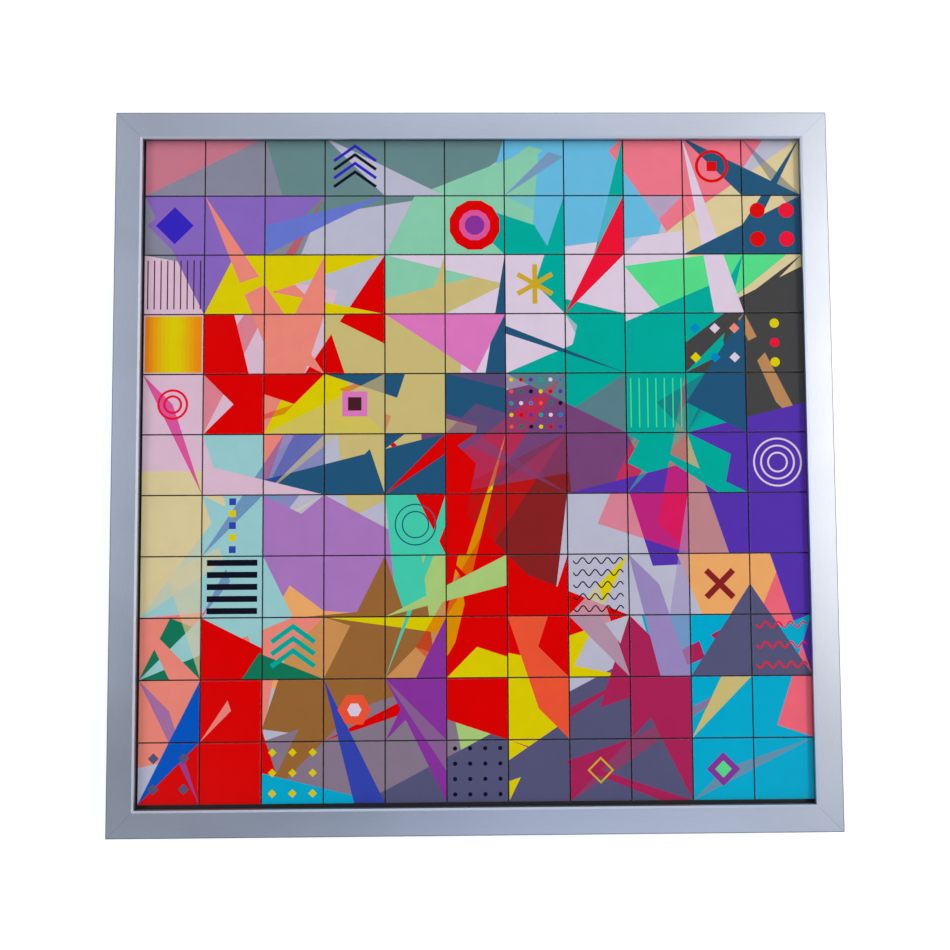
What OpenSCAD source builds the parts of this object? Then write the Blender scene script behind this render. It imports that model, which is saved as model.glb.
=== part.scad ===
// Sliding tile puzzle: square picture tiles on magnetic pads slide over a steel
// sheet in a mitred metal frame. Black liners form the tray's walls, and their lips,
// just inside the frame, hold the tiles' edges down. The tray is a little larger than
// the tiles, so with all of them pushed to the top right, the bottom left tile lifts out.
// The puzzle lies on its back: +X to the right, +Y to the top of the picture, +Z up.
// The origin is at the middle of the back, on the plane that the bumpers stand on.

/* [Tiles] */
// Tiles along each side
cells = 11; // [4:1:11]
// Distance from one tile to the next
pitch = 50; // [40:1:60]
// Gap between two tiles
tile_gap = 1; // [0.8:0.1:1.5]
// Thickness of a tile's clear face plate
face_plate_t = 2; // [2:0.5:3]
// Chamfer along a tile's upper edges
tile_chamfer = 0.4; // [0.2:0.1:0.8]
// Thickness of the magnetic pad under a tile
pad_t = 2; // [1:0.5:3]
// How far the pad is set in from the tile's edge
pad_inset = 1.5; // [1:0.5:4]
// Running gap under the pads
slide_gap = 0.2; // [0.1:0.1:0.4]
// How far the tiles are pushed towards the right of the tray
shift_right = 1.2; // [1:0.1:1.8]
// How far the tiles are pushed towards the top of the tray
shift_up = 2.8; // [1:0.1:3]

/* [Frame] */
// Width of a rail's face
rail_w = 21.7; // [20:0.1:30]
// Height of a rail
rail_h = 26; // [25:0.5:32]
// Thickness of a rail's outer wall
wall_t = 1.6; // [1.2:0.1:2]
// Thickness of a rail's face
face_t = 1.8; // [1.5:0.1:2.5]
// Thickness of the wall that turns down at the face's inner edge
return_t = 1.6; // [1.2:0.1:2]
// Bevel along the inner edge of the face
bevel = 1.4; // [0.4:0.1:2]
// Bevel along the outer edge of the face
arris = 0.5; // [0.2:0.1:1]
// Gap at each mitre joint
mitre_gap = 0.1; // [0.05:0.05:0.2]
// Depth of the tile tops below the face
tile_recess = 5; // [4.5:0.5:7]

/* [Back channel] */
// Width of the channel along a rail's back
channel_w = 12; // [11:0.5:14]
// Clear height inside the channel
channel_clear = 4.4; // [4:0.1:5]
// Thickness of the channel's walls
channel_t = 1.6; // [1.2:0.1:1.8]
// Width of the slot along the channel
slot_w = 4; // [3.5:0.1:5]

/* [Liners] */
// How much smaller the opening between the lips is than the tiles' own square, each side
lip_cover = 0.9; // [0.4:0.1:1.2]
// Width of a liner's lip that shows inside the frame
liner_show = 0.2; // [0.2:0.1:1]
// Depth of the pocket under the lip
pocket = 3.6; // [3.6:0.1:4.2]
// Thickness of the lip
lip_t = 0.8; // [0.6:0.1:1]
// Gap between the lip and the tiles below it
lip_gap = 0.3; // [0.3:0.1:0.5]
// Width of the liner's body
liner_w = 12; // [8:1:13]

/* [Back] */
// Thickness of the steel sheet
sheet_t = 1; // [0.6:0.1:1.5]
// Thickness of the backing board
board_t = 4; // [3:0.5:4.5]
// Height of the rubber bumpers
bumper_h = 4; // [4:0.5:6]
// Radius of the rubber bumpers
bumper_r = 5; // [4:0.5:5.5]

/* [Hangers] */
// Distance from the middle to each hanger
hanger_x = 200; // [60:10:200]
// Radius of the keyhole's round entry
keyhole_r = 4.5; // [4:0.1:5]
// Width of the keyhole's slot
keyhole_slot_w = 4.4; // [3.5:0.1:4.4]

/* [Hidden] */
$fn = 48;
moving_columns = [2 : cells];
still_rows = [1 : cells - 1];
function two_digits(n) = str(n < 10 ? "0" : "", n);
function row_name(r) = str("tiles_row_", two_digits(r));
function tile_name(c) = str("bottom_tile_", two_digits(c));
function pad_name(c) = str("bottom_pad_", two_digits(c));

// Plan sizes
tile = pitch - tile_gap;
lip_half = cells * pitch / 2 - lip_cover;       // middle to the edge of a liner's lip
tray_half = lip_half + pocket;
outer = 2 * (lip_half + liner_show + rail_w);
side_play = 0.4;                       // between the board or sheet and the rails
board_half = outer / 2 - wall_t - side_play;

// Heights above the plane that the bumpers stand on
back_z = bumper_h;
top_z = back_z + rail_h;
tile_top_z = top_z - tile_recess;
lip_under_z = tile_top_z + lip_gap;
liner_top_z = lip_under_z + lip_t;
tile_under_z = tile_top_z - face_plate_t;
pad_under_z = tile_under_z - pad_t;
sheet_top_z = pad_under_z - slide_gap;
sheet_under_z = sheet_top_z - sheet_t;
board_under_z = sheet_under_z - board_t;
web_top = channel_clear + 2 * channel_t;        // above the rail's back
channel_mid = channel_w / 2;

// Corner keys
key_t = 2.4;
key_w = 7.4;
key_leg = 45;
key_z = back_z + channel_t + 0.2;
set_screw_r = 2;
set_screw_at = 30;                     // from the corner of the frame
set_screw_low = 0.6;                   // above the rail's back
driver_slot = 0.8;

// Spring clips
clip_t = 0.4;
clip_w = 9;
clip_length = 60;
clip_steps = 12;
clip_in = 7;                           // middle of a clip, in from the rail's outer edge
clip_rise = board_under_z - back_z - web_top;
clip_places = [-0.3, 0.3];             // along a rail, as a share of its length

// Hangers
hanger_w = 34;
hanger_length = 36;
hanger_t = 1.4;
hanger_corner_r = 3;
hanger_edge = 1.5;                     // in from the outer edge of the rail
keyhole_at = 28;                       // in from the outer edge of the rail
keyhole_travel = 9;
hanger_screw_r = 1.5;
hanger_screw_spread = 11;
screw_head_r = 2.9;
screw_head_t = 1.5;
nut_w = 7;
nut_t = 2.4;
thread_play = 0.05;

// Bumpers
bumper_chamfer = 0.8;

silver = [0.72, 0.75, 0.80];
steel = [0.62, 0.64, 0.66];
black = [0.07, 0.07, 0.08];
tile_colours = ["crimson", "lightgray", "gold", "teal", "mediumpurple", "salmon",
                "steelblue", "palegreen", "sienna", "pink", "deepskyblue"];

function column_x(c) = (c - (cells + 1) / 2) * pitch + shift_right;
function row_y(r) = ((cells + 1) / 2 - r) * pitch + shift_up;

// ---- frame ----

// Section of a rail: X runs in from the outer edge, Y up from the back
module rail_section() {
    slot_a = channel_mid - slot_w / 2;
    slot_b = channel_mid + slot_w / 2;
    inside_w = channel_w - channel_t;
    web_under = channel_t + channel_clear;
    return_under = liner_top_z - back_z;
    polygon([
        [0, 0], [slot_a, 0], [slot_a, channel_t], [wall_t, channel_t],
        [wall_t, web_under], [inside_w, web_under], [inside_w, channel_t],
        [slot_b, channel_t], [slot_b, 0], [channel_w, 0],
        [channel_w, web_top], [wall_t, web_top], [wall_t, rail_h - face_t],
        [rail_w - return_t, rail_h - face_t], [rail_w - return_t, return_under],
        [rail_w, return_under], [rail_w, rail_h - bevel], [rail_w - bevel, rail_h],
        [arris, rail_h], [0, rail_h - arris]]);
}

// A bar along the bottom edge, mitred at both ends, from its section: X runs in from
// the frame's outer edge, Y up from the plane that the bumpers stand on
module mitred_bar() {
    half = outer / 2;
    mitre = mitre_gap / sqrt(2);
    intersection() {
        translate([-half, -half, 0])
            rotate([90, 0, 90])
                linear_extrude(outer)
                    children();
        linear_extrude(top_z + 1)
            polygon([[mitre - half, -half], [half - mitre, -half], [0, -mitre]]);
    }
}

module rail() {
    color(silver)
        mitred_bar()
            translate([0, back_z])
                rail_section();
}

module rail_bottom() { rail(); }
module rail_right() { rotate([0, 0, 90]) rail(); }
module rail_top() { rotate([0, 0, 180]) rail(); }
module rail_left() { rotate([0, 0, 270]) rail(); }

// L-shaped plate in the channel at the bottom left corner, drilled for its set screws
module corner_key() {
    near = channel_mid - key_w / 2;
    color(steel)
        translate([-outer / 2, -outer / 2, key_z])
            difference() {
                union() {
                    translate([near, near, 0]) cube([key_leg, key_w, key_t]);
                    translate([near, near, 0]) cube([key_w, key_leg, key_t]);
                }
                for (at = [[set_screw_at, channel_mid], [channel_mid, set_screw_at]])
                    translate([at[0], at[1], -1])
                        cylinder(r = set_screw_r, h = key_t + 2);
            }
}

module corner_key_bottom_left() { corner_key(); }
module corner_key_bottom_right() { rotate([0, 0, 90]) corner_key(); }
module corner_key_top_right() { rotate([0, 0, 180]) corner_key(); }
module corner_key_top_left() { rotate([0, 0, 270]) corner_key(); }

// Slotted set screw, standing on its driven end
module set_screw() {
    length = channel_t + channel_clear - set_screw_low - thread_play;
    difference() {
        cylinder(r = set_screw_r - thread_play, h = length);
        translate([-set_screw_r, -driver_slot / 2, -driver_slot])
            cube([2 * set_screw_r, driver_slot, 2 * driver_slot]);
    }
}

module corner_screws() {
    color(steel)
        for (turn = [0 : 90 : 270])
            rotate([0, 0, turn])
                for (at = [[set_screw_at, channel_mid], [channel_mid, set_screw_at]])
                    translate([at[0] - outer / 2, at[1] - outer / 2, back_z + set_screw_low])
                        set_screw();
}

// ---- tray ----

module steel_sheet() {
    color([0.16, 0.16, 0.17])
        translate([-board_half, -board_half, sheet_under_z])
            cube([2 * board_half, 2 * board_half, sheet_t]);
}

module backing_board() {
    color("burlywood")
        translate([-board_half, -board_half, board_under_z])
            cube([2 * board_half, 2 * board_half, board_t]);
}

// L-shaped section: the body stands on the sheet, and the lip reaches over the tiles
module liner() {
    lip_at = outer / 2 - lip_half;
    wall_at = outer / 2 - tray_half;
    body_at = wall_at - liner_w;
    color(black)
        mitred_bar()
            polygon([[body_at, sheet_top_z], [wall_at, sheet_top_z], [wall_at, lip_under_z],
                     [lip_at, lip_under_z], [lip_at, liner_top_z], [body_at, liner_top_z]]);
}

module liner_bottom() { liner(); }
module liner_right() { rotate([0, 0, 90]) liner(); }
module liner_top() { rotate([0, 0, 180]) liner(); }
module liner_left() { rotate([0, 0, 270]) liner(); }

// Bowed leaf spring: its ends stand on the channel and its crown meets the board
module leaf_spring() {
    function bow(x) = (clip_rise - clip_t) * (1 - pow(2 * x / clip_length, 2));
    xs = [for (i = [0 : clip_steps]) (i / clip_steps - 0.5) * clip_length];
    rotate([90, 0, 0])
        linear_extrude(clip_w, center = true)
            polygon(concat(
                [for (x = xs) [x, bow(x)]],
                [for (i = [clip_steps : -1 : 0]) [xs[i], bow(xs[i]) + clip_t]]));
}

module spring_clips() {
    color(steel)
        for (turn = [0 : 90 : 270])
            rotate([0, 0, turn])
                for (place = clip_places)
                    translate([place * outer, clip_in - outer / 2, back_z + web_top])
                        leaf_spring();
}

// ---- hangers and bumpers ----

module rounded_plate(w, length, r) {
    translate([-w / 2 + r, 0]) square([w - 2 * r, length]);
    translate([-w / 2, r]) square([w, length - 2 * r]);
    for (x = [r - w / 2, w / 2 - r])
        for (y = [r, length - r])
            translate([x, y]) circle(r);
}

// Plan of a hanger: Y runs in from the plate's outer end
module hanger_plan() {
    hole_y = keyhole_at - hanger_edge;
    difference() {
        rounded_plate(hanger_w, hanger_length, hanger_corner_r);
        translate([0, hole_y]) circle(keyhole_r);
        translate([-keyhole_slot_w / 2, hole_y - keyhole_travel])
            square([keyhole_slot_w, keyhole_travel]);
        translate([0, hole_y - keyhole_travel]) circle(keyhole_slot_w / 2);
        for (side = [-1, 1])
            translate([side * hanger_screw_spread, channel_mid - hanger_edge])
                circle(hanger_screw_r + thread_play);
    }
}

module hanger(x) {
    color(steel)
        translate([x, outer / 2 - hanger_edge, back_z - hanger_t])
            mirror([0, 1, 0])
                linear_extrude(hanger_t)
                    hanger_plan();
}

module hanger_left() { hanger(-hanger_x); }
module hanger_right() { hanger(hanger_x); }

// Runs its children at each of the four hanger screws
module at_hanger_screws() {
    for (x = [-hanger_x, hanger_x])
        for (side = [-1, 1])
            translate([x + side * hanger_screw_spread, outer / 2 - channel_mid, back_z])
                children();
}

module hanger_screws() {
    color(steel)
        at_hanger_screws()
            difference() {
                union() {
                    translate([0, 0, -hanger_t - screw_head_t])
                        cylinder(r = screw_head_r, h = screw_head_t);
                    translate([0, 0, -hanger_t])
                        cylinder(r = hanger_screw_r, h = hanger_t + channel_t + nut_t + 0.5);
                }
                translate([-screw_head_r, -driver_slot / 2, -hanger_t - screw_head_t - driver_slot])
                    cube([2 * screw_head_r, driver_slot, 2 * driver_slot]);
            }
}

module hanger_nuts() {
    color(steel)
        at_hanger_screws()
            translate([0, 0, channel_t])
                difference() {
                    translate([-nut_w / 2, -nut_w / 2, 0]) cube([nut_w, nut_w, nut_t]);
                    translate([0, 0, -1]) cylinder(r = hanger_screw_r + thread_play, h = nut_t + 2);
                }
}

module rubber_bumpers() {
    color(black)
        for (x = [channel_mid - outer / 2, outer / 2 - channel_mid])
            for (y = [channel_mid - outer / 2, outer / 2 - channel_mid])
                translate([x, y, 0])
                    rotate_extrude()
                        polygon([[0, 0], [bumper_r - bumper_chamfer, 0],
                                 [bumper_r, bumper_chamfer], [bumper_r, bumper_h], [0, bumper_h]]);
}

// ---- tiles ----

// Clear plate with chamfered upper edges, as two crossed bars
module face_plate() {
    half = tile / 2;
    section = [[-half, 0], [half, 0], [half, face_plate_t - tile_chamfer],
               [half - tile_chamfer, face_plate_t], [tile_chamfer - half, face_plate_t],
               [-half, face_plate_t - tile_chamfer]];
    intersection() {
        rotate([90, 0, 0]) linear_extrude(tile + 2, center = true) polygon(section);
        rotate([90, 0, 90]) linear_extrude(tile + 2, center = true) polygon(section);
    }
}

module tile_at(r, c) {
    color(tile_colours[(3 * r + 4 * c) % len(tile_colours)])
        translate([column_x(c), row_y(r), tile_under_z])
            face_plate();
}

module pad_at(r, c) {
    side = tile - 2 * pad_inset;
    color(black)
        translate([column_x(c) - side / 2, row_y(r) - side / 2, pad_under_z])
            cube([side, side, pad_t]);
}

module tiles_row(r) {
    for (c = [1 : cells])
        tile_at(r, c);
}

module magnetic_pads() {
    for (r = still_rows)
        for (c = [1 : cells])
            pad_at(r, c);
}

module bottom_tile(c) { tile_at(cells, c); }
module bottom_pad(c) { pad_at(cells, c); }
module key_tile() { tile_at(cells, 1); }
module key_pad() { pad_at(cells, 1); }

rail_top();
rail_bottom();
rail_left();
rail_right();
liner_top();
liner_bottom();
liner_left();
liner_right();
steel_sheet();
backing_board();
corner_key_top_left();
corner_key_top_right();
corner_key_bottom_left();
corner_key_bottom_right();
corner_screws();
spring_clips();
hanger_left();
hanger_right();
hanger_screws();
hanger_nuts();
rubber_bumpers();
for (r = still_rows)
    tiles_row(r);
magnetic_pads();
for (c = moving_columns)
    bottom_tile(c);
for (c = moving_columns)
    bottom_pad(c);
key_tile();
key_pad();
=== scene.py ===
"""Looks of the sliding tile puzzle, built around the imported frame.

The frame, tray and clear plates are the CAD nodes with procedural materials. The printed
films behind the plates, which carry the picture, are made here."""

import math
import random

import bmesh
import bpy
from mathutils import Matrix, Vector


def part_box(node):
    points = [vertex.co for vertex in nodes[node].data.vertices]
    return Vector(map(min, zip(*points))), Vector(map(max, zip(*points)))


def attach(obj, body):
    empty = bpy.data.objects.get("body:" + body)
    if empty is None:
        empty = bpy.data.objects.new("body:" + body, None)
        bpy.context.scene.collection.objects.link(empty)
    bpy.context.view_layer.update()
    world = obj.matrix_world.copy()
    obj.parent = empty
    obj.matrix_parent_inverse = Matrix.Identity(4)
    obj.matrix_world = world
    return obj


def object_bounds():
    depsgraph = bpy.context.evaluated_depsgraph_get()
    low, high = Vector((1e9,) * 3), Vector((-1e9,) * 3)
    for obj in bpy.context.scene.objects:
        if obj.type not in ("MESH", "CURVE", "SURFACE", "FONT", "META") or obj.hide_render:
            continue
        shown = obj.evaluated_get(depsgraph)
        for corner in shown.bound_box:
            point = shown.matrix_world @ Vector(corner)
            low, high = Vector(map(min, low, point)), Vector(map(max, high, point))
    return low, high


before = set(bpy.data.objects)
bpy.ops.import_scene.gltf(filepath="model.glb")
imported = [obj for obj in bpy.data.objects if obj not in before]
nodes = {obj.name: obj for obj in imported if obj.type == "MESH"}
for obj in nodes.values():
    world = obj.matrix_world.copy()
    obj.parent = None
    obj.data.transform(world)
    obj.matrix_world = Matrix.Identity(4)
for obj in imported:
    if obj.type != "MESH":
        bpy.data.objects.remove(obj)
cad_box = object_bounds()

MM = 0.001
CELLS = 11

# ---------------------------------------------------------------- inks

# Plain colours, one digit each for red, green and blue.
INKS = {
    "red": "#D00", "crimson": "#E13", "wine": "#822", "cherry": "#A25", "maroon": "#824",
    "plum": "#747", "mauve": "#B8A", "lilac": "#A7B", "violet": "#53A", "purple": "#839",
    "amethyst": "#86B", "lavender": "#98B", "indigo": "#32B", "royal": "#34A",
    "periwinkle": "#67C", "cobalt": "#05B", "azure": "#08C", "sky": "#6BD", "ice": "#9CC",
    "cyan": "#0AC", "petrol": "#257", "teal": "#0A9", "aqua": "#6BB", "seafoam": "#4CA",
    "mint": "#8CA", "green": "#5D8", "forest": "#175", "lime": "#AC7", "yellow": "#DC0",
    "gold": "#CA2", "amber": "#E81", "sand": "#CB7", "cream": "#DC9", "apricot": "#EA6",
    "orange": "#E53", "salmon": "#E87", "coral": "#E78", "rose": "#E67", "pink": "#D7B",
    "magenta": "#D59", "blush": "#DBC", "fog": "#BBC", "pearl": "#DCD", "slate": "#688",
    "steel": "#79B", "grey": "#889", "charcoal": "#444", "umber": "#422", "brown": "#963",
    "taupe": "#878", "dusk": "#557", "black": "#112",
}


def linear(code):
    """Linear colour of a three-digit hex code."""
    channels = [int(digit, 16) / 15 for digit in code[1:]]
    return [c / 12.92 if c <= 0.04045 else ((c + 0.055) / 1.055) ** 2.4 for c in channels]


def ink(name):
    return linear(INKS[name])


def blend(under, over, opacity):
    return [u + (o - u) * opacity for u, o in zip(under, over)]


# ---------------------------------------------------------------- picture
# The picture is in tile units: X to the right from its left edge, Y down from its top.

# Main inks of each tile, row by row.
PLAN = [
    "blush/rose umber/indigo slate/aqua slate/fog fog/slate mint/blush steel/sky "
    "sky/crimson taupe/coral/orange coral azure/petrol",
    "amethyst/royal grey/amethyst/pink periwinkle/yellow azure/periwinkle fog/mint mint/teal "
    "teal/sky/red sky/crimson/petrol sky/coral pearl/cream/azure cream/petrol",
    "blush grey/amethyst/yellow yellow/salmon/fog aqua/magenta mint/teal/aqua pearl "
    "pearl/teal pearl/teal/crimson green green/azure/pearl charcoal",
    "amber/yellow fog/charcoal/red rose/salmon red/sand amber/sand/pink pink/petrol/red "
    "lilac/orange/petrol cherry/salmon/teal ice/fog petrol/charcoal/red charcoal/apricot",
    "blush/magenta magenta/red/plum red/seafoam/yellow sand/yellow sand/red/petrol "
    "plum/petrol plum mauve/plum teal teal/petrol charcoal/apricot",
    "blush/magenta blush/ice royal/petrol sand/petrol seafoam/red/petrol red/plum/forest "
    "plum/wine mauve/plum/charcoal crimson/teal teal/violet violet",
    "cream/sand ice cream/forest/lilac lilac/salmon seafoam red wine/charcoal/pearl "
    "fog/yellow/lime/brown crimson/steel violet/apricot violet",
    "cream/ice ice sand/umber/lilac lilac/plum mauve/seafoam/lime lime/yellow/red "
    "red/pearl fog fog/lavender apricot cream/sand",
    "forest/brown/salmon forest/salmon/red apricot brown/apricot purple/brown "
    "lime/yellow/red red/yellow/orange fog/cherry cherry/lavender red/dusk/sand/cyan dusk/rose",
    "cobalt/salmon red cherry/apricot/taupe brown taupe/purple red/steel/lime "
    "yellow/orange dusk/cherry cherry/forest cyan/sand cyan/rose",
    "cobalt/red red cyan/cherry cyan/royal maroon/steel/lilac dusk yellow/dusk "
    "dusk/cherry cherry/taupe cyan/taupe cyan/taupe",
]
PLAN = [[cell.split("/") for cell in row.split()] for row in PLAN]

# Large grounds under the shards, each convex.
GROUNDS = [
    ("fog", [(0, 0), (11, 0), (11, 11), (0, 11)]),
    ("grey", [(0, 0), (3.4, 0), (2.6, 2), (0, 3)]),
    ("slate", [(2, 0), (6.5, 0), (5, 1), (2.4, 1.4)]),
    ("sky", [(6, 0), (9, 0), (8.4, 2.4), (5.4, 2)]),
    ("coral", [(7.6, 0), (10.4, 0), (9, 2)]),
    ("cream", [(9, 1.4), (11, 0), (11, 3), (8, 2.2)]),
    ("mint", [(4, 2), (6.6, 0), (6.4, 2.4), (4, 3.4)]),
    ("blush", [(0, 2), (3.2, 2.6), (2.6, 5), (0, 7)]),
    ("pearl", [(4.6, 3), (6, 2), (9, 1.6), (9.4, 4.2), (4.6, 4)]),
    ("green", [(8, 2.2), (11, 1.8), (9, 3.4)]),
    ("sand", [(3, 3.4), (5.4, 3), (5, 5.6), (3.4, 6.4)]),
    ("charcoal", [(9, 3.2), (11, 2.2), (11, 6), (9.6, 5.6)]),
    ("plum", [(4.6, 4.6), (9, 3.6), (8.4, 6.6), (4.6, 7)]),
    ("ice", [(0, 8), (2, 5), (2.6, 7.6)]),
    ("cream", [(0, 5.6), (1.8, 5.6), (0, 8)]),
    ("apricot", [(2, 6), (4, 7), (3.2, 9.4), (1.6, 9)]),
    ("lilac", [(1.8, 7), (3, 6), (5.2, 7.2), (4.5, 8), (3, 7.9)]),
    ("seafoam", [(4, 6), (5, 5.6), (5.4, 7.4), (4.2, 8)]),
    ("salmon", [(0, 8), (2.4, 7.8), (2, 10), (0, 10.4)]),
    ("brown", [(2.6, 8), (5, 7.8), (5, 10.2), (2, 9.8)]),
    ("lime", [(4.6, 7), (6, 7), (6.4, 10), (5, 10.4)]),
    ("wine", [(5, 6), (7, 5), (7.2, 8), (5.4, 8)]),
    ("fog", [(7, 6), (9, 5.8), (9.4, 9), (6.6, 9.2)]),
    ("violet", [(8, 5.9), (11, 5), (11, 7.1), (8.4, 7.2)]),
    ("apricot", [(8.8, 7), (11, 7), (11, 8.2), (9.2, 8)]),
    ("taupe", [(2, 10), (5, 9), (5.4, 11), (1.6, 11)]),
    ("dusk", [(3.6, 11), (9, 8.2), (9.6, 11)]),
    ("cyan", [(8.2, 8), (11, 8), (11, 11), (9, 11)]),
    ("red", [(0, 11), (1.6, 8.6), (2.4, 11)]),
]
# How many shards each layer has, and their length.
LAYERS = [(30, 4.2), (50, 3.2), (50, 2)]
# Most shards are spikes, and the others are wide. Their angles are in degrees.
SPIKE_SHARE, SPIKE_ANGLES, WIDE_ANGLES = 0.7, (9, 22), (30, 75)
# Length of a shard's other side, as a share of its first.
SIDE_SHARES = (0.7, 1)
GLAZE_SHARE, GLAZE_OPACITY = 0.25, 0.55
LEAST_AREA = 0.12
# Random shards that each kept one is the best of.
TRIES = 16
# Places in a triangle, as shares of its second and third points.
PROBES = [(0.8, 0.1), (0.1, 0.8), (0.1, 0.1), (0.34, 0.33), (0.5, 0.4), (0.5, 0.1), (0.1, 0.5)]


def make_shards(seed):
    """Grounds, then layers of triangles. Each has the best outline and ink of a few that
    are drawn at random from one tile corner, and some are glazes over the ink below."""
    rng = random.Random(seed)
    shards = [(ink(name), counterclockwise(points), 1) for name, points in GROUNDS]
    starts = [(x, y) for x in range(CELLS + 1) for y in range(CELLS + 1)]
    for count, length in LAYERS:
        rng.shuffle(starts)
        for x, y in starts[:count]:
            tries = [try_shard(rng, shards, x, y, length) for _ in range(TRIES)]
            share, name, outline = max(tries)
            opacity = GLAZE_OPACITY if rng.random() < GLAZE_SHARE else 1
            if share > 0:
                shards.append((ink(name), outline, opacity))
    return shards


def try_shard(rng, shards, x, y, length):
    """A random triangle from a tile corner, most often a narrow spike, whose other points
    lie on tile corners or halfway between them. Its ink is one of its middle tile's, and
    its worth is the share of it that lies on tiles which have that ink."""
    turn = rng.uniform(0, 2 * math.pi)
    angles = SPIKE_ANGLES if rng.random() < SPIKE_SHARE else WIDE_ANGLES
    side_turn = turn + math.radians(rng.uniform(*angles))
    side_length = length * rng.uniform(*SIDE_SHARES)
    far = (round(x + length * math.cos(turn)), round(y + length * math.sin(turn)))
    side = (round(2 * (x + side_length * math.cos(side_turn))) / 2,
            round(2 * (y + side_length * math.sin(side_turn))) / 2)
    if abs(signed_area([(x, y), far, side])) < LEAST_AREA:
        return 0, "", []
    places = [(x * (1 - u - v) + far[0] * u + side[0] * v,
               y * (1 - u - v) + far[1] * u + side[1] * v) for u, v in PROBES]
    places = [place for place in places if 0 < min(place) and max(place) < CELLS]
    if not places:
        return 0, "", []
    here = places[len(places) // 2]
    below = [shard for shard in shards if inside(*here, shard[1])][-1][0]
    best = (0, "", [])
    for name in PLAN[int(here[1])][int(here[0])]:
        if ink(name) != below:
            share = sum(name in PLAN[int(b)][int(a)] for a, b in places) / len(PROBES)
            best = max(best, (share, name, counterclockwise([(x, y), far, side])))
    return best


def signed_area(points):
    return sum(a[0] * b[1] - b[0] * a[1] for a, b in zip(points, points[1:] + points[:1])) / 2


def counterclockwise(points):
    return points if signed_area(points) > 0 else points[::-1]


def inside(x, y, points):
    """True if (x, y) is in a convex outline whose points run counterclockwise."""
    return all((b[0] - a[0]) * (y - a[1]) - (b[1] - a[1]) * (x - a[0]) > 0
               for a, b in zip(points, points[1:] + points[:1]))


SHARDS = make_shards(seed=49)

# ---------------------------------------------------------------- film meshes

FILM_T = 0.08 * MM
MARK_T = 0.02 * MM
# How far a film's top reaches into its plate, so that no two faces lie in one plane.
FILM_RISE = 0.02 * MM
PAPER = linear("#DDD")
# How near a point counts as on a cutting line, in tile units.
CUT_TOLERANCE = 1e-5
# Largest angle in radians between faces that are joined.
FLAT = 0.01
tile_low, tile_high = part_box("key_tile")
TILE = tile_high.x - tile_low.x
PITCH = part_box("bottom_tile_03")[0].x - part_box("bottom_tile_02")[0].x
MARGIN = (PITCH - TILE) / 2 / PITCH
FILM_Z = tile_low.z + FILM_RISE


def cut_film(row, column):
    """Bmesh of one film in tile units, cut along the edges of each shard that reaches it,
    and the colours of its faces."""
    left, right = column + MARGIN, column + 1 - MARGIN
    top, bottom = row + MARGIN, row + 1 - MARGIN
    bm = bmesh.new()
    corners = [(left, bottom), (right, bottom), (right, top), (left, top)]
    bm.faces.new([bm.verts.new((x, -y, 0)) for x, y in corners])
    near = []
    for colour, points, opacity in SHARDS:
        xs, ys = [p[0] for p in points], [p[1] for p in points]
        if min(xs) < right and max(xs) > left and min(ys) < bottom and max(ys) > top:
            near.append((colour, points, opacity))
    for _, points, _ in near:
        for a, b in zip(points, points[1:] + points[:1]):
            normal = Vector((b[1] - a[1], b[0] - a[0], 0))
            bmesh.ops.bisect_plane(bm, geom=bm.verts[:] + bm.edges[:] + bm.faces[:],
                                   dist=CUT_TOLERANCE, plane_co=(a[0], -a[1], 0),
                                   plane_no=normal)
    colours = []
    for face in bm.faces:
        middle = face.calc_center_median()
        colour = PAPER
        for shade, points, opacity in near:
            if inside(middle.x, -middle.y, points):
                colour = blend(colour, shade, opacity)
        colours.append(colour)
    return bm, colours


def merge_same_colour(bm, colours):
    """Joins neighbouring faces of one colour. Returns the colours, which each face's
    material index counts."""
    known = {}
    for face, colour in zip(bm.faces, colours):
        face.material_index = known.setdefault(tuple(round(c, 5) for c in colour), len(known))
    bmesh.ops.dissolve_limit(bm, angle_limit=FLAT, verts=bm.verts[:], edges=bm.edges[:],
                             delimit={"MATERIAL"})
    return list(known)


def film_patch(row, column, corner):
    """One film as (points, faces, face colours): a slab whose top is cut into colours.
    corner is where the picture's top left corner lies."""
    bm, colours = cut_film(row, column)
    colours = merge_same_colour(bm, colours)
    rim = [e for e in bm.edges if len(e.link_faces) == 1]
    made = bmesh.ops.extrude_edge_only(bm, edges=rim)["geom"]
    low = {v for v in made if isinstance(v, bmesh.types.BMVert)}
    for v in low:
        v.co.z = -FILM_T / PITCH
    low_edges = [e for e in made if isinstance(e, bmesh.types.BMEdge) and set(e.verts) <= low]
    bmesh.ops.contextual_create(bm, geom=low_edges)
    bm.normal_update()
    bm.verts.index_update()
    points = [tuple(corner + v.co * PITCH) for v in bm.verts]
    faces = [[v.index for v in f.verts] for f in bm.faces]
    shades = [colours[f.material_index] if f.normal.z > 0.5 else PAPER for f in bm.faces]
    bm.free()
    return points, faces, shades


def painted_mesh(name, patches):
    """A mesh object from patches of (points, faces, face colours)."""
    mesh = bpy.data.meshes.new(name)
    points, faces, colours = [], [], []
    for patch_points, patch_faces, patch_colours in patches:
        start = len(points)
        points += patch_points
        faces += [[start + i for i in face] for face in patch_faces]
        colours += patch_colours
    mesh.from_pydata(points, [], faces)
    layer = mesh.color_attributes.new("Ink", "FLOAT_COLOR", "CORNER")
    for polygon, colour in zip(mesh.polygons, colours):
        for loop in polygon.loop_indices:
            layer.data[loop].color = (*colour, 1)
    obj = bpy.data.objects.new(name, mesh)
    bpy.context.scene.collection.objects.link(obj)
    return obj


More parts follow.
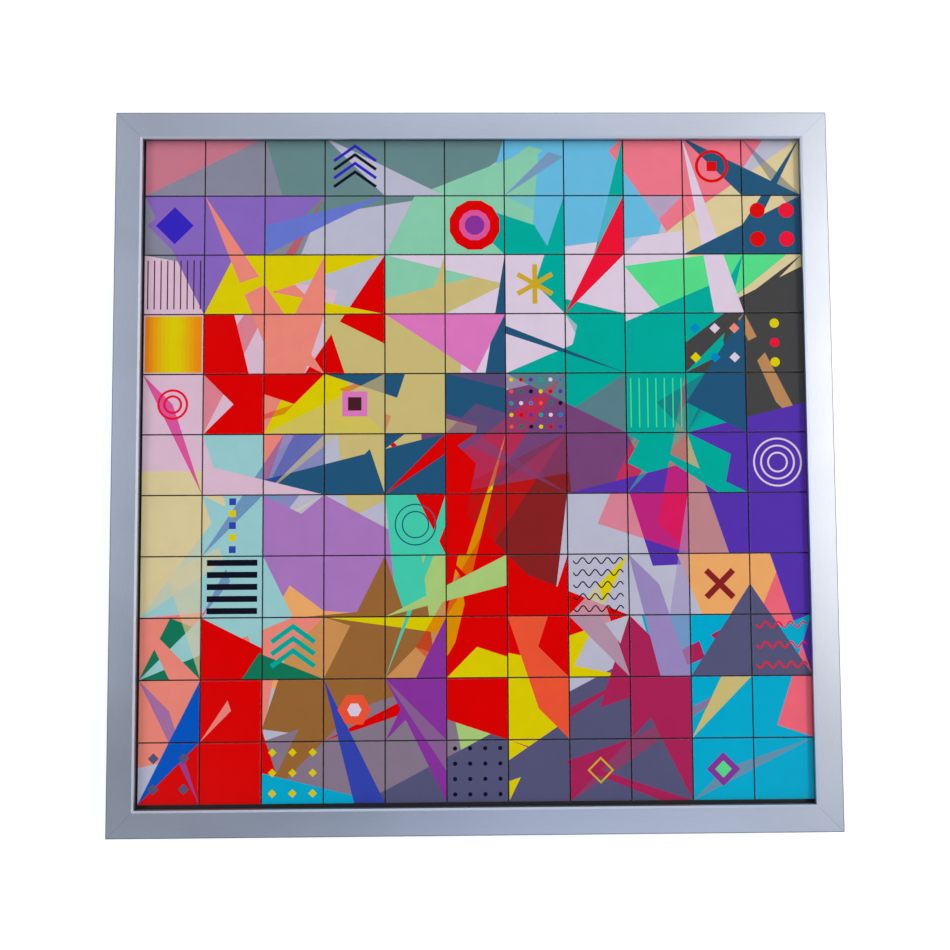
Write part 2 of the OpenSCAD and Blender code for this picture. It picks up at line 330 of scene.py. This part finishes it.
# ---------------------------------------------------------------- marks
# Plain signs on some tiles, such as dots, rings, bars and squares, as thin raised ink. Each
# is drawn in its own tile's units, from (0, 0) at the top left to (1, 1) at the bottom right.
# A shape is (kind, points, width, colour, level), and its level lifts it over what it crosses.

# Sides of a round outline.
ROUND = 40
# Least cosine that a mitre is worked out with, which keeps sharp corners short.
SHARPEST_MITRE = 0.3
# Where the longest bars and waves start and end.
NEAR, FAR = 0.08, 0.92
WAVE_HEIGHT, WAVES, WAVE_STEPS = 0.05, 4, 40
# The top chevron, and the room below its place that the chevrons share evenly.
ROOF = [(0.14, 0.4), (0.5, 0.14), (0.86, 0.4)]
ROOF_ROOM = 0.6
# Where shaded bands start and end, and how many there are.
SHADE_START, SHADE_END, SHADE_BANDS = 0.02, 0.98, 14


def regular(x, y, r, sides=ROUND, turn=0):
    """Corners of a regular polygon, by default a round one. turn is in degrees."""
    angles = [math.radians(turn + 360 * i / sides) for i in range(sides)]
    return [(x + r * math.cos(a), y + r * math.sin(a)) for a in angles]


def prism(outline, colour, corner, level):
    """A thin slab over an outline."""
    outline = counterclockwise(outline)[::-1]
    low = corner.z + MARK_T * level
    count = len(outline)
    points = [(corner.x + x * PITCH, corner.y - y * PITCH, z)
              for z in (low, low + MARK_T) for x, y in outline]
    faces = [list(range(count, 2 * count)), list(range(count - 1, -1, -1))]
    faces += [[i, (i + 1) % count, count + (i + 1) % count, count + i] for i in range(count)]
    return points, faces, [colour] * len(faces)


def stroke(path, width, colour, corner, level, closed):
    """A thin slab of even width along a path, mitred at its corners."""
    count = len(path)
    left, right = [], []
    for i, point in enumerate(path):
        here = Vector(point)
        into = here - Vector(path[i - 1]) if i or closed else Vector(path[1]) - here
        out = Vector(path[(i + 1) % count]) - here if i < count - 1 or closed else into
        across = Vector((-into.y, into.x)).normalized()
        mitre = (across + Vector((-out.y, out.x)).normalized()).normalized()
        reach = mitre * (width / 2 / max(mitre.dot(across), SHARPEST_MITRE))
        left.append(tuple(here + reach))
        right.append(tuple(here - reach))
    low = corner.z + MARK_T * level
    points = [(corner.x + x * PITCH, corner.y - y * PITCH, z)
              for z in (low, low + MARK_T) for side in (left, right) for x, y in side]
    faces = []
    for i in range(count if closed else count - 1):
        j = (i + 1) % count
        a, b, c, d = i, j, count + j, count + i
        faces += [[2 * count + k for k in (a, b, c, d)], [d, c, b, a],
                  [a, b, 2 * count + b, 2 * count + a], [c, d, 2 * count + d, 2 * count + c]]
    if not closed:
        faces += [[0, count, 3 * count, 2 * count],
                  [count - 1, 3 * count - 1, 4 * count - 1, 2 * count - 1]]
    return points, faces, [colour] * len(faces)


def fill(outline, colour, level=0):
    return "fill", outline, 0, ink(colour), level


def line(points, width, colour, level=0):
    return "line", points, width, ink(colour), level


def ring(points, width, colour, level=0):
    return "ring", points, width, ink(colour), level


def nested(sides, turn, *shapes):
    """Regular polygons one on another, from (radius, ink), the largest first."""
    return [fill(regular(0.5, 0.5, r, sides, turn), colour, level)
            for level, (r, colour) in enumerate(shapes)]


def rings(colour, width, *radii):
    """Rings round one centre."""
    return [ring(regular(0.5, 0.5, r), width, colour) for r in radii]


def bars(colour, count, width, upright=False):
    """Even bars across the tile."""
    marks = []
    for i in range(count):
        middle = (i + 0.5) / count
        outline = [(NEAR, middle - width / 2), (FAR, middle - width / 2),
                   (FAR, middle + width / 2), (NEAR, middle + width / 2)]
        marks.append(fill([(y, x) for x, y in outline] if upright else outline, colour))
    return marks


def grid(columns, rows, r, inks, sides=ROUND, turn=0):
    """Rows of dots or small squares, whose inks take turns."""
    return [fill(regular((i % columns + 0.5) / columns, (i // columns + 0.5) / rows, r,
                         sides, turn), inks[i % len(inks)])
            for i in range(columns * rows)]


def star(colour, arms, reach, width):
    """Bars of one length that cross at their middles."""
    marks = []
    for i in range(arms):
        a = math.pi * (i + 0.5) / arms
        end = (reach * math.cos(a), reach * math.sin(a))
        marks.append(line([(0.5 - end[0], 0.5 - end[1]), (0.5 + end[0], 0.5 + end[1])],
                          width, colour, i))
    return marks


def chevrons(inks, width):
    """Roof shapes one under another, one for each ink."""
    step = ROOF_ROOM / len(inks)
    return [line([(x, y + step * i) for x, y in ROOF], width, colour)
            for i, colour in enumerate(inks)]


def waves(colour, count, width):
    """Wavy lines one under another."""
    shares = [k / WAVE_STEPS for k in range(WAVE_STEPS + 1)]
    return [line([(NEAR + (FAR - NEAR) * share,
                   (i + 0.5) / count + WAVE_HEIGHT * math.sin(2 * math.pi * WAVES * share))
                  for share in shares], width, colour) for i in range(count)]


def shaded(first, second):
    """Upright bands from the first ink to the second and back."""
    edges = [SHADE_START + (SHADE_END - SHADE_START) * i / SHADE_BANDS
             for i in range(SHADE_BANDS + 1)]
    shades = [blend(ink(first), ink(second), math.sin(math.pi * (i + 0.5) / SHADE_BANDS) ** 2)
              for i in range(SHADE_BANDS)]
    return [("fill", [(a, SHADE_START), (b, SHADE_START), (b, SHADE_END), (a, SHADE_END)],
             0, shade, 0) for a, b, shade in zip(edges, edges[1:], shades)]


MANY = ["yellow", "red", "violet", "teal", "pearl", "azure", "orange", "forest", "black"]
# The marks, by row and column, counted from 1 at the top left.
MARKS = {
    (1, 4): chevrons(["indigo", "black", "indigo", "black"], 0.05),
    (1, 10): rings("red", 0.05, 0.26) + nested(4, 45, (0.12, "red")),
    (2, 1): nested(4, 0, (0.46, "amethyst"), (0.32, "indigo")),
    (2, 6): nested(12, 15, (0.44, "red"), (0.27, "magenta"), (0.17, "purple")),
    (2, 11): grid(2, 2, 0.13, ["red", "crimson"]),
    (3, 1): bars("umber", 9, 0.02, upright=True),
    (3, 7): star("gold", 3, 0.34, 0.08),
    (4, 1): shaded("amber", "yellow"),
    (4, 10): grid(3, 2, 0.09, ["azure", "pearl", "salmon", "yellow"], 4),
    (4, 11): grid(1, 3, 0.08, ["yellow", "crimson", "yellow"]),
    (5, 1): rings("crimson", 0.04, 0.24, 0.14),
    (5, 4): nested(4, 45, (0.3, "pink"), (0.16, "umber")),
    (5, 7): grid(6, 5, 0.035, MANY),
    (5, 9): bars("green", 7, 0.02, upright=True),
    (6, 11): rings("pearl", 0.03, 0.4, 0.28, 0.16),
    (7, 2): grid(1, 5, 0.08, ["royal", "yellow"], 4, 45),
    (7, 5): rings("petrol", 0.02, 0.34, 0.22),
    (8, 2): bars("black", 5, 0.1),
    (8, 8): waves("black", 5, 0.02),
    (8, 10): star("wine", 2, 0.32, 0.1),
    (9, 3): chevrons(["teal", "teal", "teal"], 0.08),
    (9, 11): waves("crimson", 3, 0.025),
    (10, 4): nested(6, 0, (0.28, "orange"), (0.12, "pearl")),
    (11, 1): grid(2, 2, 0.09, ["dusk"], 4),
    (11, 3): grid(3, 3, 0.07, ["yellow"], 4),
    (11, 6): grid(4, 4, 0.035, ["black"]),
    (11, 8): [ring(regular(0.5, 0.5, 0.2, 4), 0.03, "gold")],
    (11, 10): nested(4, 0, (0.28, "purple"), (0.14, "green")),
}


def mark_patches(row, column, corner):
    """Patches of the mark on one tile, if it has one."""
    inset = 1 - 2 * MARGIN
    patches = []
    for kind, points, width, colour, level in MARKS.get((row + 1, column + 1), []):
        placed = [(column + MARGIN + inset * x, row + MARGIN + inset * y) for x, y in points]
        if kind == "fill":
            patches.append(prism(placed, colour, corner, level))
        else:
            patches.append(stroke(placed, width, colour, corner, level, kind == "ring"))
    return patches


def add_prints(material):
    """One film object for each fixed row, and one for each tile that slides or lifts."""
    low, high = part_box("tiles_row_01")
    spare = (PITCH - TILE) / 2
    corner = Vector((low.x - spare, high.y + spare, FILM_Z))
    pieces = []
    for row in range(CELLS):
        patches = []
        for column in range(CELLS):
            patches.append([film_patch(row, column, corner)] + mark_patches(row, column, corner))
        if row < CELLS - 1:
            piece = painted_mesh(f"print_row_{row + 1:02d}", sum(patches, []))
            pieces.append((piece, "tray"))
            continue
        pieces.append((painted_mesh("print_key", patches[0]), "key"))
        for column in range(1, CELLS):
            piece = painted_mesh(f"print_bottom_{column + 1:02d}", patches[column])
            pieces.append((piece, f"tile_{column + 1:02d}"))
    for piece, body in pieces:
        piece.data.materials.append(material)
        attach(piece, body)


# ---------------------------------------------------------------- materials

# Range in which most of a noise value lies.
NOISE_RANGE = (0.3, 0.7)
# Painted shade: a darker line along the frame's outer upper edge, for the shade on its rounded
# edge: its height, its width and its tint.
ARRIS = 0.52 * MM
EDGE_LINE = 0.9 * MM
EDGE_SHADE_TINT = (0.38, 0.37, 0.36, 1)
ACRYLIC_IOR = 1.49
ACRYLIC_ROUGHNESS = 0.04
ACRYLIC_CLEARNESS = (0.992, 0.993, 0.993, 1)


class Shader:
    """A material's node tree, with short calls to add nodes and links."""

    def __init__(self, name):
        self.material = bpy.data.materials.new(name)
        self.material.use_nodes = True
        self.tree = self.material.node_tree
        self.principled = self.tree.nodes["Principled BSDF"]
        self.output = self.tree.nodes["Material Output"]

    def node(self, kind, **values):
        node = self.tree.nodes.new(kind)
        for key, value in values.items():
            setattr(node, key, value)
        return node

    def link(self, source, target):
        self.tree.links.new(source, target)

    def put(self, **values):
        for key, value in values.items():
            self.principled.inputs[key.replace("_", " ")].default_value = value

    def noise(self, scale, detail, stretch=(1, 1, 1)):
        """A noise value with features of about 1 / scale metres, longer where stretch is
        under 1."""
        place = self.node("ShaderNodeTexCoord")
        mapping = self.node("ShaderNodeMapping")
        mapping.inputs["Scale"].default_value = stretch
        noise = self.node("ShaderNodeTexNoise")
        noise.inputs["Scale"].default_value = scale
        noise.inputs["Detail"].default_value = detail
        self.link(place.outputs["Object"], mapping.inputs["Vector"])
        self.link(mapping.outputs["Vector"], noise.inputs["Vector"])
        return noise.outputs["Fac"]

    def spread(self, value, low, high):
        """Maps a noise value to a range."""
        node = self.node("ShaderNodeMapRange")
        node.inputs["From Min"].default_value = NOISE_RANGE[0]
        node.inputs["From Max"].default_value = NOISE_RANGE[1]
        node.inputs["To Min"].default_value = low
        node.inputs["To Max"].default_value = high
        self.link(value, node.inputs["Value"])
        return node.outputs["Result"]

    def math(self, operation, *values):
        """A value from one or two values, each a number or a socket."""
        node = self.node("ShaderNodeMath", operation=operation)
        for socket, value in zip(node.inputs, values):
            if isinstance(value, (int, float)):
                socket.default_value = value
            else:
                self.link(value, socket)
        return node.outputs["Value"]

    def tint(self, colour, factor, share):
        """A colour multiplied by another one, where share is 1."""
        node = self.node("ShaderNodeMix", data_type="RGBA", blend_type="MULTIPLY")
        for name, value in (("Factor", share), ("A", colour), ("B", factor)):
            if isinstance(value, (int, float, tuple)):
                node.inputs[name].default_value = value
            else:
                self.link(value, node.inputs[name])
        return node.outputs["Result"]

    def ramp(self, value, stops):
        """Colours along a value, from stops of (place, colour)."""
        node = self.node("ShaderNodeValToRGB")
        band = node.color_ramp
        band.elements[0].position, band.elements[0].color = stops[0][0], (*stops[0][1], 1)
        band.elements[1].position, band.elements[1].color = stops[-1][0], (*stops[-1][1], 1)
        for place, colour in stops[1:-1]:
            band.elements.new(place).color = (*colour, 1)
        self.link(value, node.inputs["Fac"])
        return node.outputs["Color"]

    def bump(self, height, distance, strength=1):
        node = self.node("ShaderNodeBump")
        node.inputs["Distance"].default_value = distance
        node.inputs["Strength"].default_value = strength
        self.link(height, node.inputs["Height"])
        self.link(node.outputs["Normal"], self.principled.inputs["Normal"])


def painted_edge_shade(s):
    """1 on a thin line along the frame's outer upper edge, where the silver gets a painted
    shade, and 0 elsewhere.
    """
    place = s.node("ShaderNodeTexCoord")
    split = s.node("ShaderNodeSeparateXYZ")
    s.link(place.outputs["Object"], split.inputs["Vector"])
    x, y, z = (split.outputs[axis] for axis in "XYZ")
    out = s.math("MAXIMUM", s.math("ABSOLUTE", x), s.math("ABSOLUTE", y))
    return s.math("MULTIPLY", s.math("GREATER_THAN", out, cad_box[1][0] - EDGE_LINE),
                  s.math("GREATER_THAN", z, cad_box[1][2] - ARRIS))


def satin_silver(name, stretch):
    """Satin silver profile, grained along its length, with a painted shade line along its outer
    upper edge.
    """
    s = Shader(name)
    s.put(Metallic=1)
    grain = s.noise(1500, 3, stretch)
    cloud = s.noise(14, 2)
    silver = s.ramp(grain, [(0.3, (0.575, 0.63, 0.725)), (0.7, (0.61, 0.665, 0.76))])
    # Painted shade: the silver is tinted darker on a thin line along the outer upper edge.
    s.link(s.tint(silver, EDGE_SHADE_TINT, painted_edge_shade(s)), s.principled.inputs["Base Color"])
    s.link(s.spread(cloud, 0.4, 0.45), s.principled.inputs["Roughness"])
    s.bump(grain, 0.002 * MM, 0.5)
    return s.material


def black_plastic():
    """Matt black plastic with a fine grain."""
    s = Shader("black_plastic")
    fine = s.noise(2500, 2)
    s.link(s.ramp(fine, [(0.35, (0.030, 0.030, 0.034)), (0.65, (0.042, 0.042, 0.046))]),
           s.principled.inputs["Base Color"])
    s.link(s.spread(fine, 0.45, 0.6), s.principled.inputs["Roughness"])
    s.bump(fine, 0.02 * MM)
    return s.material


def powder_coat():
    """Black powder coat with a fine orange-peel surface."""
    s = Shader("powder_coat")
    peel = s.noise(1400, 2)
    s.link(s.ramp(peel, [(0.3, (0.032, 0.032, 0.035)), (0.7, (0.048, 0.048, 0.052))]),
           s.principled.inputs["Base Color"])
    s.link(s.spread(peel, 0.35, 0.5), s.principled.inputs["Roughness"])
    s.bump(peel, 0.03 * MM)
    return s.material


def hardboard():
    """Brown hardboard with pressed fibres."""
    s = Shader("hardboard")
    fibres = s.noise(420, 8, (1, 0.35, 1))
    cloud = s.noise(9, 3)
    brown = s.ramp(fibres, [(0.25, (0.13, 0.07, 0.035)), (0.5, (0.23, 0.135, 0.07)),
                            (0.75, (0.34, 0.22, 0.12))])
    shade = s.ramp(cloud, [(0.3, (0.75, 0.72, 0.7)), (0.7, (1, 1, 1))])
    s.link(s.tint(brown, shade, 0.7), s.principled.inputs["Base Color"])
    s.link(s.spread(fibres, 0.6, 0.85), s.principled.inputs["Roughness"])
    s.bump(fibres, 0.08 * MM)
    return s.material


def zinc():
    """Zinc plating with a faint spangle and brush marks."""
    s = Shader("zinc")
    s.put(Metallic=1)
    spangle = s.noise(260, 1)
    brushed = s.noise(1200, 3, (1, 0.05, 1))
    s.link(s.ramp(spangle, [(0.35, (0.50, 0.51, 0.52)), (0.65, (0.68, 0.68, 0.67))]),
           s.principled.inputs["Base Color"])
    s.link(s.spread(brushed, 0.25, 0.42), s.principled.inputs["Roughness"])
    s.bump(brushed, 0.01 * MM)
    return s.material


def rubber(name, dark, pale):
    """Matt rubber whose fine grain runs from a dark tone to a pale one."""
    s = Shader(name)
    fine = s.noise(900, 4)
    s.link(s.ramp(fine, [(0.3, dark), (0.7, pale)]), s.principled.inputs["Base Color"])
    s.link(s.spread(fine, 0.7, 0.9), s.principled.inputs["Roughness"])
    s.bump(fine, 0.05 * MM)
    return s.material


def printed_film():
    """Ink colours from the mesh, with a slight mottle in tone."""
    s = Shader("printed_film")
    s.put(Specular_IOR_Level=0)
    colour = s.node("ShaderNodeAttribute", attribute_name="Ink")
    mottle = s.noise(70, 3)
    tone = s.ramp(mottle, [(0.3, (1.09, 1.08, 1.07)), (0.7, (1.14, 1.13, 1.12))])
    s.link(s.tint(colour.outputs["Color"], tone, 1), s.principled.inputs["Base Color"])
    s.link(s.spread(mottle, 0.45, 0.6), s.principled.inputs["Roughness"])
    return s.material


def clear_acrylic():
    """Clear plate: see-through, with a polished face that ripples a little."""
    s = Shader("clear_acrylic")
    s.tree.nodes.remove(s.principled)
    through = s.node("ShaderNodeBsdfTransparent")
    gloss = s.node("ShaderNodeBsdfAnisotropic")
    gloss.inputs["Roughness"].default_value = ACRYLIC_ROUGHNESS
    through.inputs["Color"].default_value = ACRYLIC_CLEARNESS
    fresnel = s.node("ShaderNodeFresnel")
    fresnel.inputs["IOR"].default_value = ACRYLIC_IOR
    mix = s.node("ShaderNodeMixShader")
    geometry = s.node("ShaderNodeNewGeometry")
    front = s.math("SUBTRACT", 1, geometry.outputs["Backfacing"])
    s.link(s.math("MULTIPLY", fresnel.outputs["Fac"], front), mix.inputs["Fac"])
    s.link(through.outputs["BSDF"], mix.inputs[1])
    s.link(gloss.outputs["BSDF"], mix.inputs[2])
    ripple = s.node("ShaderNodeBump")
    ripple.inputs["Distance"].default_value = 0.05 * MM
    s.link(s.noise(18, 1), ripple.inputs["Height"])
    s.link(ripple.outputs["Normal"], gloss.inputs["Normal"])
    s.link(mix.outputs["Shader"], s.output.inputs["Surface"])
    return s.material


def cover(material, *prefixes):
    """Gives a material to every CAD node whose name starts with one of the prefixes."""
    for name, obj in nodes.items():
        if name.startswith(prefixes):
            for slot in obj.material_slots:
                slot.material = material


silver_x = satin_silver("satin_silver_x", (0.06, 1, 1))
silver_y = satin_silver("satin_silver_y", (1, 0.06, 1))
cover(silver_x, "rail_top", "rail_bottom")
cover(silver_y, "rail_left", "rail_right")
cover(black_plastic(), "liner_")
cover(powder_coat(), "steel_sheet")
cover(hardboard(), "backing_board")
cover(zinc(), "corner_", "spring_clips", "hanger_")
cover(rubber("rubber", (0.016, 0.016, 0.018), (0.032, 0.032, 0.035)), "rubber_bumpers")
cover(rubber("magnetic_rubber", (0.022, 0.019, 0.018), (0.045, 0.04, 0.038)),
      "magnetic_pads", "bottom_pad_", "key_pad")
cover(clear_acrylic(), "tiles_row_", "bottom_tile_", "key_tile")
add_prints(printed_film())

# ---------------------------------------------------------------- studio

FLOOR_SIZE = 14
FLOOR_DEPTH = 0.002
FLOOR_GLOW = 0.4
# Light colours.
WARM = (1, 0.92, 0.84)
COOL = (0.96, 1, 1.1)
BLUE = (0.88, 1, 1.3)
# Colours of the surround, and the heights on a unit sphere where its fade starts and ends.
ZENITH = (0.03, 0.03, 0.032)
HORIZON = (0.6, 0.62, 0.66)
FADE_START, FADE_END = 0.64, 0.95
# The camera's place from the middle of the tile field, in tile pitches, and its turn in degrees.
CAMERA_PLACE = (-0.163, -0.82, 13.31)
CAMERA_TURN = (2.71, -0.61, -0.33)
# The camera's focal length and sensor width, in millimetres.
LENS, SENSOR = 30.69, 36


def add_floor():
    """A plain pale floor under the object."""
    size, depth = FLOOR_SIZE / 2, FLOOR_DEPTH
    low = cad_box[0][2]
    corners = [(x, y, z) for z in (low - depth, low) for x, y in
               ((-size, -size), (size, -size), (size, size), (-size, size))]
    sides = [(i, (i + 1) % 4, 4 + (i + 1) % 4, 4 + i) for i in range(4)]
    mesh = bpy.data.meshes.new("floor")
    mesh.from_pydata(corners, [], [(4, 5, 6, 7), (3, 2, 1, 0)] + sides)
    floor = bpy.data.objects.new("floor", mesh)
    bpy.context.scene.collection.objects.link(floor)
    s = Shader("floor")
    s.put(Roughness=0.9, Specular_IOR_Level=0.1, Emission_Color=(1, 1, 1, 1),
          Emission_Strength=FLOOR_GLOW)
    s.link(s.ramp(s.noise(3, 2), [(0.3, (0.93, 0.93, 0.93)), (0.7, (0.95, 0.95, 0.95))]),
           s.principled.inputs["Base Color"])
    floor.data.materials.append(s.material)


def add_softbox(name, place, aim, size, watts, colour):
    """A rectangular area light that points from its place to its aim."""
    light = bpy.data.lights.new(name, "AREA")
    light.shape = "RECTANGLE"
    light.size, light.size_y = size
    light.energy = watts
    light.color = colour
    obj = bpy.data.objects.new(name, light)
    obj.location = place
    obj.rotation_euler = (Vector(aim) - Vector(place)).to_track_quat("-Z", "Y").to_euler()
    bpy.context.scene.collection.objects.link(obj)


def add_world():
    """Soft surround: dim overhead, brighter towards the walls."""
    world = bpy.data.worlds.new("studio")
    world.use_nodes = True
    tree = world.node_tree
    place = tree.nodes.new("ShaderNodeTexCoord")
    split = tree.nodes.new("ShaderNodeSeparateXYZ")
    ramp = tree.nodes.new("ShaderNodeValToRGB")
    ramp.color_ramp.elements[0].position = FADE_START
    ramp.color_ramp.elements[0].color = (*HORIZON, 1)
    ramp.color_ramp.elements[1].position = FADE_END
    ramp.color_ramp.elements[1].color = (*ZENITH, 1)
    tree.links.new(place.outputs["Generated"], split.inputs["Vector"])
    tree.links.new(split.outputs["Z"], ramp.inputs["Fac"])
    tree.links.new(ramp.outputs["Color"], tree.nodes["Background"].inputs["Color"])
    bpy.context.scene.world = world


def add_camera():
    """Camera above the tile field, a little towards its bottom edge."""
    low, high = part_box("tiles_row_06")
    centre = Vector(((low.x + high.x) / 2, (low.y + high.y) / 2, high.z))
    data = bpy.data.cameras.new("camera")
    data.sensor_width = SENSOR
    data.lens = LENS
    camera = bpy.data.objects.new("camera", data)
    camera.location = centre + Vector(CAMERA_PLACE) * PITCH
    camera.rotation_euler = [math.radians(a) for a in CAMERA_TURN]
    bpy.context.scene.collection.objects.link(camera)
    bpy.context.scene.camera = camera


add_floor()
add_world()
add_softbox("key_right", (1.55, 0.32, 1.8), (0, 0.32, 0), (1.8, 0.4), watts=19.5, colour=WARM)
add_softbox("fill_top", (0.1, 1.6, 1.5), (0, 0, 0), (1.6, 0.7), watts=6.5, colour=COOL)
add_softbox("fill_left", (-1.8, 0.2, 1.4), (0, 0, 0), (1.1, 0.7), watts=9.5, colour=COOL)
add_softbox("fill_bottom", (0.3, -1.5, 1.8), (0, 0, 0), (1.4, 0.5), watts=5, colour=BLUE)
add_camera()
bpy.context.scene.view_settings.view_transform = "Standard"
